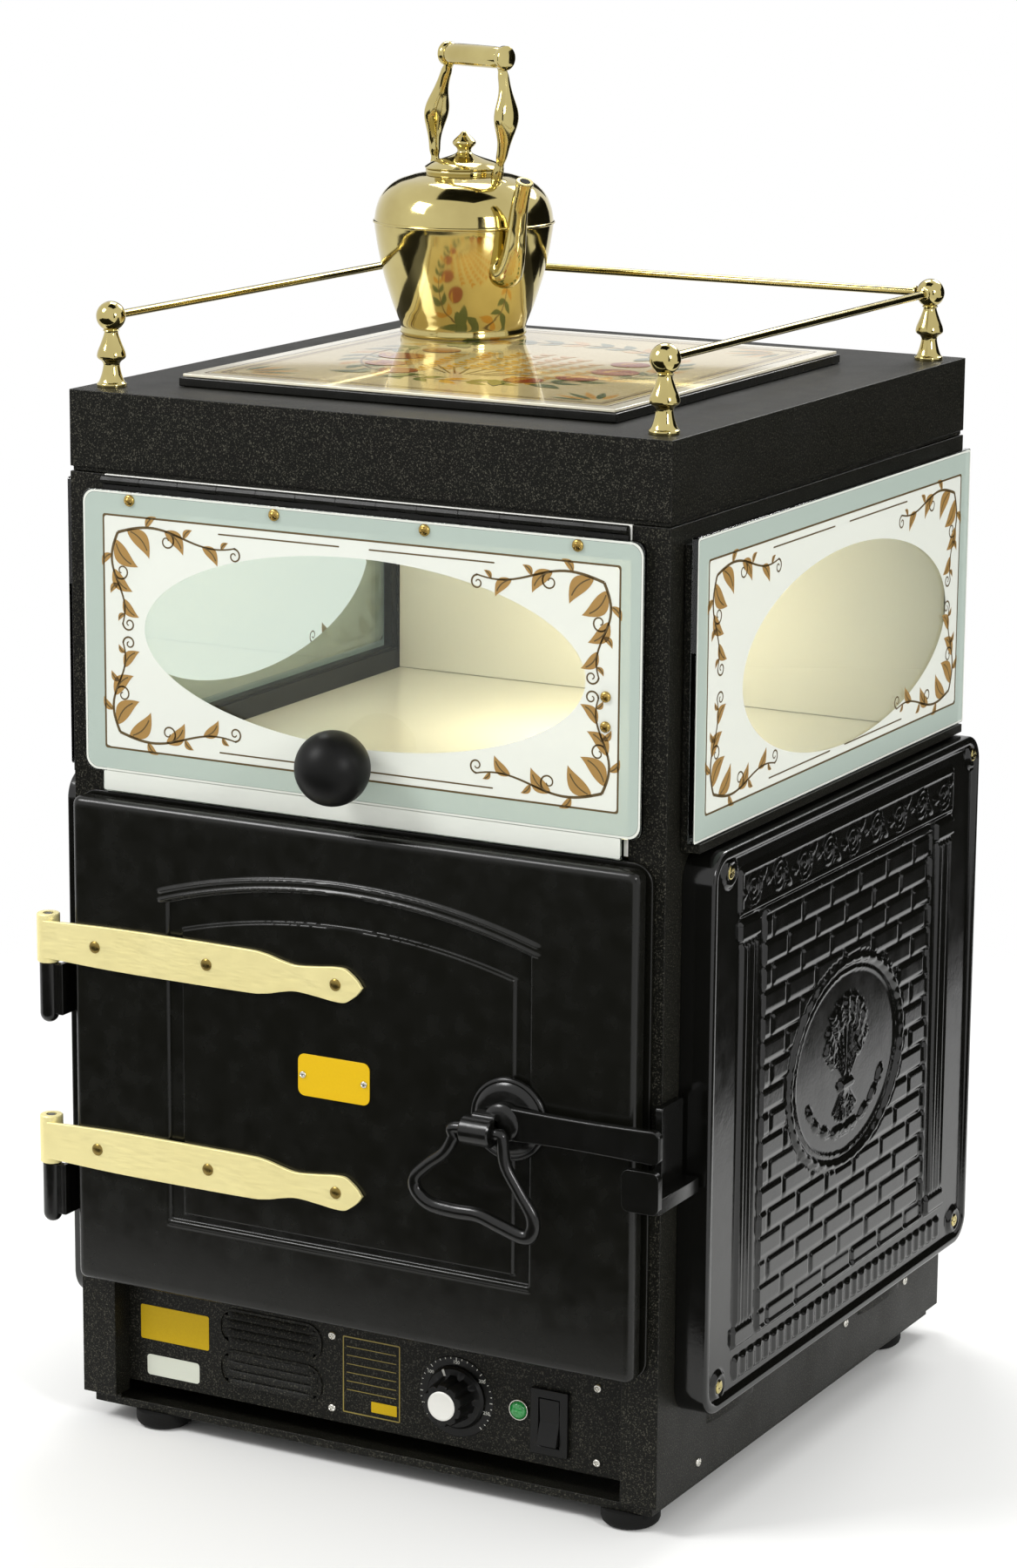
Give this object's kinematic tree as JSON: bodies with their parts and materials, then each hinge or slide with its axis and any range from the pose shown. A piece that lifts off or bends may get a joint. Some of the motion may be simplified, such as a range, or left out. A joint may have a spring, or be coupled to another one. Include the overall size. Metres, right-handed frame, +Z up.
{
  "type": "potato baking oven",
  "caption": "Black counter-top baking oven with a strap-hinged door, a lit glazed warming compartment above it, a brass gallery and a brass kettle on top.",
  "frame": {"origin": "on the surface that the feet stand on, under the middle of the whole outline", "axes": "+Z up, +X to the right as seen from the front, and the front faces -Y"},
  "size_m": [0.496, 0.5432, 0.9425],
  "materials": {
    "stove_enamel": "semi-gloss black, fine orange-peel texture",
    "black_casting": "gloss black over the casting's skin",
    "black_plastic": "satin moulded",
    "polished_brass": "polished",
    "satin_brass": "satin, flat polished",
    "steel": "plain pressed sheet",
    "bright_wire": "bright plated wire",
    "white_enamel": "gloss white",
    "white_ceramic": "opaque glazed porcelain",
    "etched_glass": "clear with an acid-etched pattern",
    "lamp_glass": "pearl",
    "mineral_wool": "matt fibre",
    "seal_rope": "woven glass rope",
    "rubber": "matt",
    "green_lens": "clear moulded",
    "picture_tile": "opaque ceramic with a gloss glaze over a printed design"
  },
  "bodies": {
    "oven": {"left_side_panel": "stove_enamel", "right_side_panel": "stove_enamel", "rear_panel": "stove_enamel", "base_tray": "stove_enamel", "foot_front_left": "rubber", "foot_front_right": "rubber", "foot_rear_left": "rubber", "foot_rear_right": "rubber", "control_panel": "stove_enamel", "thermostat": "steel", "indicator_lens": "green_lens", "switch_housing": "black_plastic", "cable_gland": "black_plastic", "front_frame": "stove_enamel", "oven_liner": "steel", "insulation_jacket": "mineral_wool", "lower_element": "steel", "upper_element": "steel", "lower_rack": "bright_wire", "upper_rack": "bright_wire", "lower_hinge_pintle": "black_casting", "upper_hinge_pintle": "black_casting", "latch_keeper": "black_casting", "display_floor": "white_enamel", "display_liner": "white_enamel", "lamp_holder": "white_ceramic", "display_lamp": "lamp_glass", "left_side_glass": "etched_glass", "right_side_glass": "etched_glass", "left_glass_frame": "stove_enamel", "right_glass_frame": "stove_enamel", "flap_hinge_fixed_leaf": "stove_enamel", "left_cast_plate": "black_casting", "right_cast_plate": "black_casting", "top_cap": "stove_enamel", "gallery_post_front_left": "polished_brass", "gallery_post_front_right": "polished_brass", "gallery_post_rear_left": "polished_brass", "gallery_post_rear_right": "polished_brass", "gallery_rail_left": "polished_brass", "gallery_rail_right": "polished_brass", "gallery_rail_rear": "polished_brass", "picture_slab": "stove_enamel", "picture_tile": "picture_tile"},
    "door": {"door_slab": "black_casting", "door_inner_pan": "steel", "door_seal": "seal_rope", "lower_strap_hinge": "satin_brass", "upper_strap_hinge": "satin_brass", "latch_escutcheon": "black_casting"},
    "latch": {"latch_bar": "black_casting"},
    "ring": {"ring_handle": "black_casting"},
    "flap": {"flap_panel": "etched_glass", "flap_hinge_moving_leaf": "stove_enamel", "flap_knob": "black_plastic"},
    "dial": {"thermostat_dial": "black_plastic"},
    "rocker": {"rocker_switch": "black_plastic"},
    "kettle": {"kettle_body": "polished_brass", "kettle_handle": "polished_brass"},
    "lid": {"kettle_lid": "polished_brass"}
  },
  "joints": [
    {"name": "door_hinge", "type": "hinge", "parent": "oven", "child": "door", "pos_m": [-0.238, -0.22695, 0.28], "axis": [0, 0, -1], "range_deg": [0, 120]},
    {"name": "latch_turn", "type": "hinge", "parent": "door", "child": "latch", "pos_m": [0.125, -0.2421, 0.2785], "axis": [0, -1, 0], "range_deg": [-10, 90]},
    {"name": "ring_swing", "type": "hinge", "parent": "latch", "child": "ring", "pos_m": [0.113, -0.25265, 0.2735], "axis": [-1, 0, 0], "range_deg": [0, 110]},
    {"name": "flap_hinge", "type": "hinge", "parent": "oven", "child": "flap", "pos_m": [0, -0.21495, 0.669], "axis": [-1, 0, 0], "range_deg": [0, 110]},
    {"name": "dial_turn", "type": "hinge", "parent": "oven", "child": "dial", "pos_m": [0.065, -0.19365, 0.0635], "axis": [0, 1, 0], "range_deg": [0, 270]},
    {"name": "rocker_tilt", "type": "hinge", "parent": "oven", "child": "rocker", "pos_m": [0.137, -0.19395, 0.059], "axis": [1, 0, 0], "range_deg": [0, 16]},
    {"name": "kettle_lift", "type": "slide", "parent": "oven", "child": "kettle", "axis": [0, 0, 1], "range_m": [0, 0.15]},
    {"name": "lid_lift", "type": "slide", "parent": "kettle", "child": "lid", "axis": [0, 0, 1], "range_m": [0, 0.02]}
  ]
}
